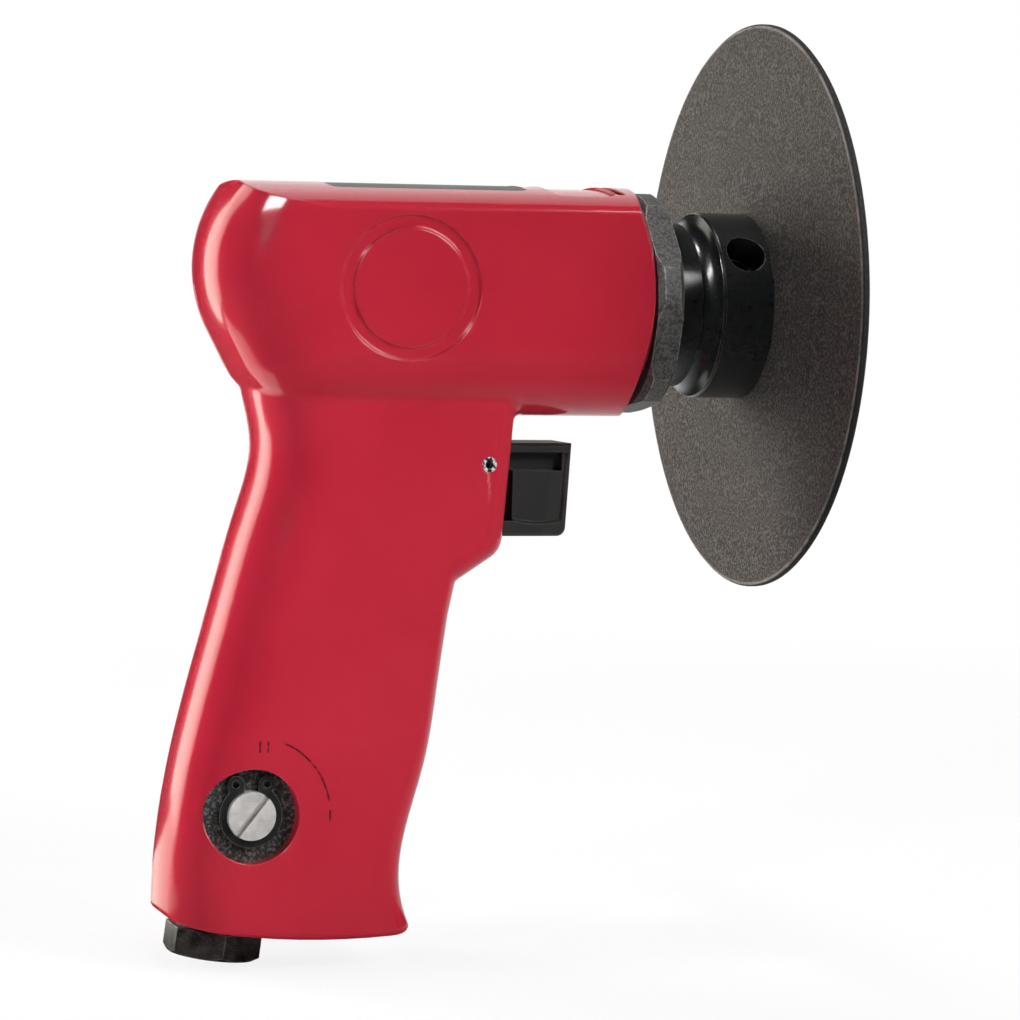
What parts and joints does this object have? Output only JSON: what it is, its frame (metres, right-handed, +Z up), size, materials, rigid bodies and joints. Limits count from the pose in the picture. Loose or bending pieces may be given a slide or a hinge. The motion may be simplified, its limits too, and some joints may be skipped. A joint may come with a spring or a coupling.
{
  "type": "pneumatic disc sander",
  "caption": "Pistol-grip air sander: painted cast housing with vane motor, hex clamp nut, spindle collar, thin round backing pad, sliding trigger, slotted air regulator and threaded inlet.",
  "frame": {"origin": "centre of the backing pad's working face, on the spindle axis", "axes": "+X out of the pad along the spindle, +Z up, the grip hangs down and to the rear"},
  "size_m": [0.1356, 0.127, 0.2082],
  "materials": {
    "red_paint": "gloss enamel on cast aluminium",
    "dark_steel": "phosphated steel, worn at the edges",
    "black_steel": "black oxide, glossy",
    "bare_steel": "ground steel",
    "cast_iron": "machined iron",
    "brass": "turned brass",
    "pad_rubber": "fibre-filled rubber, matt and grainy",
    "seal_rubber": "matt",
    "black_plastic": "moulded, satin",
    "vane_composite": "laminated phenolic",
    "felt": "felt"
  },
  "bodies": {
    "body": {"housing": "red_paint", "nameplate": "black_plastic", "clamp_nut": "dark_steel", "front_seal": "felt", "front_end_plate": "cast_iron", "rear_end_plate": "cast_iron", "motor_cylinder": "cast_iron", "cylinder_dowel": "bare_steel", "front_bearing_outer": "bare_steel", "rear_bearing_outer": "bare_steel", "trigger_pin": "bare_steel", "valve_bushing": "brass", "stem_seal": "seal_rubber", "valve_spring": "bare_steel", "regulator_bush": "black_steel", "inlet_bushing": "dark_steel", "inlet_screen": "brass", "exhaust_deflector": "black_steel", "exhaust_muffler": "felt"},
    "spindle": {"rotor": "bare_steel", "front_bearing_inner": "bare_steel", "rear_bearing_inner": "bare_steel", "spindle_spacer": "bare_steel", "drive_collar": "black_steel", "backing_pad": "pad_rubber", "disc_nut": "bare_steel", "rotor_vane_1": "vane_composite", "rotor_vane_2": "vane_composite", "rotor_vane_3": "vane_composite", "rotor_vane_4": "vane_composite"},
    "throttle": {"trigger": "black_plastic", "valve_stem": "bare_steel", "valve_head": "brass"},
    "regulator": {"regulator_stem": "bare_steel", "regulator_seal": "seal_rubber", "regulator_snap_ring": "black_steel"}
  },
  "joints": [
    {"name": "spindle_spin", "type": "hinge", "parent": "body", "child": "spindle", "pos_m": [0, 0, 0], "axis": [1, 0, 0], "continuous": true},
    {"name": "trigger_pull", "type": "slide", "parent": "body", "child": "throttle", "axis": [-1, 0, 0], "range_m": [0, 0.005], "stiffness_N_per_m": 1500, "springref_m": -0.003, "deforming": ["valve_spring"]},
    {"name": "regulator_turn", "type": "hinge", "parent": "body", "child": "regulator", "pos_m": [-0.12, 0, -0.1106], "axis": [0, -1, 0], "range_deg": [-52, 38]}
  ]
}
